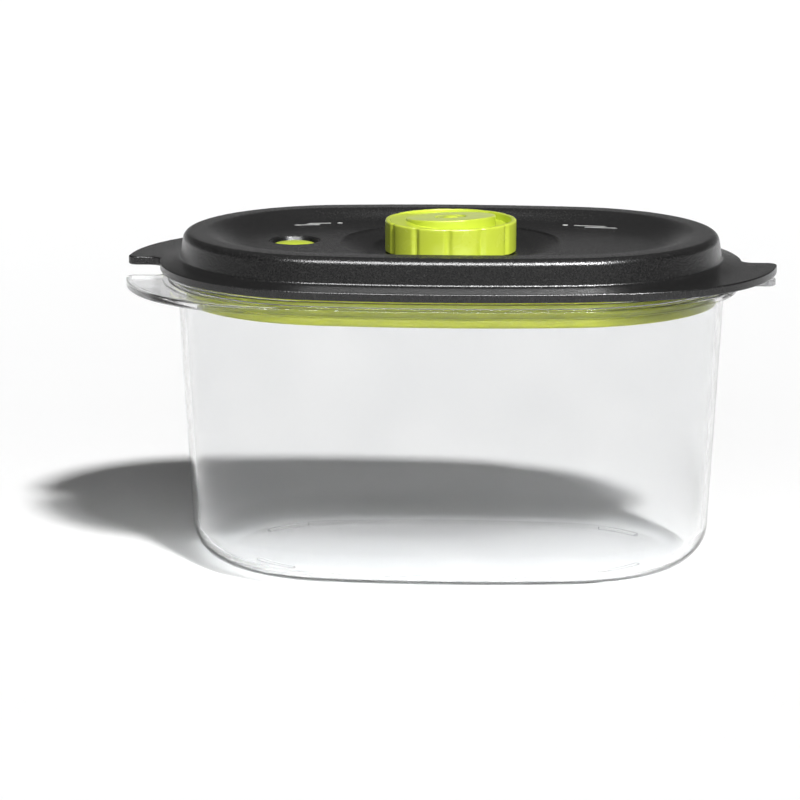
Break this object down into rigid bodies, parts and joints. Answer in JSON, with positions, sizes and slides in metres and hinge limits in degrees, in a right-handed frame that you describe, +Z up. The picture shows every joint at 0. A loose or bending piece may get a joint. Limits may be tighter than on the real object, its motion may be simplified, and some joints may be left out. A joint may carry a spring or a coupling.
{
  "type": "vacuum seal canister",
  "caption": "Oval vacuum-seal food canister: clear tapered container with end tabs, black gasketed lid, fluted green dial valve and a sprung green vacuum indicator",
  "frame": {"origin": "On the table under the middle of the container: the bottom centre of the whole object's box", "axes": "+X along the long side, through both finger tabs, towards the end right of the dial as the picture shows it; +Y to the back; +Z up through the dial"},
  "size_m": [0.2122, 0.1254, 0.115],
  "materials": {
    "clear_copolyester": "clear, polished",
    "black_grained_plastic": "fine moulded grain",
    "black_gloss_plastic": "polished",
    "lime_plastic": "satin moulded",
    "lime_silicone": "matte silicone",
    "pale_silicone": "translucent silicone",
    "black_rubber": "smooth rubber",
    "spring_steel": "bright stamped"
  },
  "bodies": {
    "container": {"container_body": "clear_copolyester"},
    "lid": {"lid_shell": "black_grained_plastic", "lid_gasket": "lime_silicone", "valve_guard": "black_grained_plastic", "indicator_bezel": "black_gloss_plastic", "indicator_diaphragm": "pale_silicone", "indicator_retainer": "black_grained_plastic"},
    "dial": {"dial_knob": "lime_plastic", "port_cap": "lime_plastic", "umbrella_valve": "pale_silicone", "hub_ring": "black_rubber", "hub_clip": "spring_steel", "face_seal": "pale_silicone"},
    "indicator": {"indicator_button": "lime_plastic"}
  },
  "joints": [
    {"name": "lid_lift", "type": "slide", "parent": "container", "child": "lid", "axis": [0, 0, 1], "range_m": [0, 0.08]},
    {"name": "dial_turn", "type": "hinge", "parent": "lid", "child": "dial", "pos_m": [0, 0, 0.103], "axis": [0, 0, -1], "range_deg": [0, 90]},
    {"name": "indicator_press", "type": "slide", "parent": "lid", "child": "indicator", "axis": [0, 0, -1], "range_m": [0, 0.0018], "stiffness_N_per_m": 250, "springref_m": -0.001, "deforming": ["indicator_diaphragm"]}
  ]
}
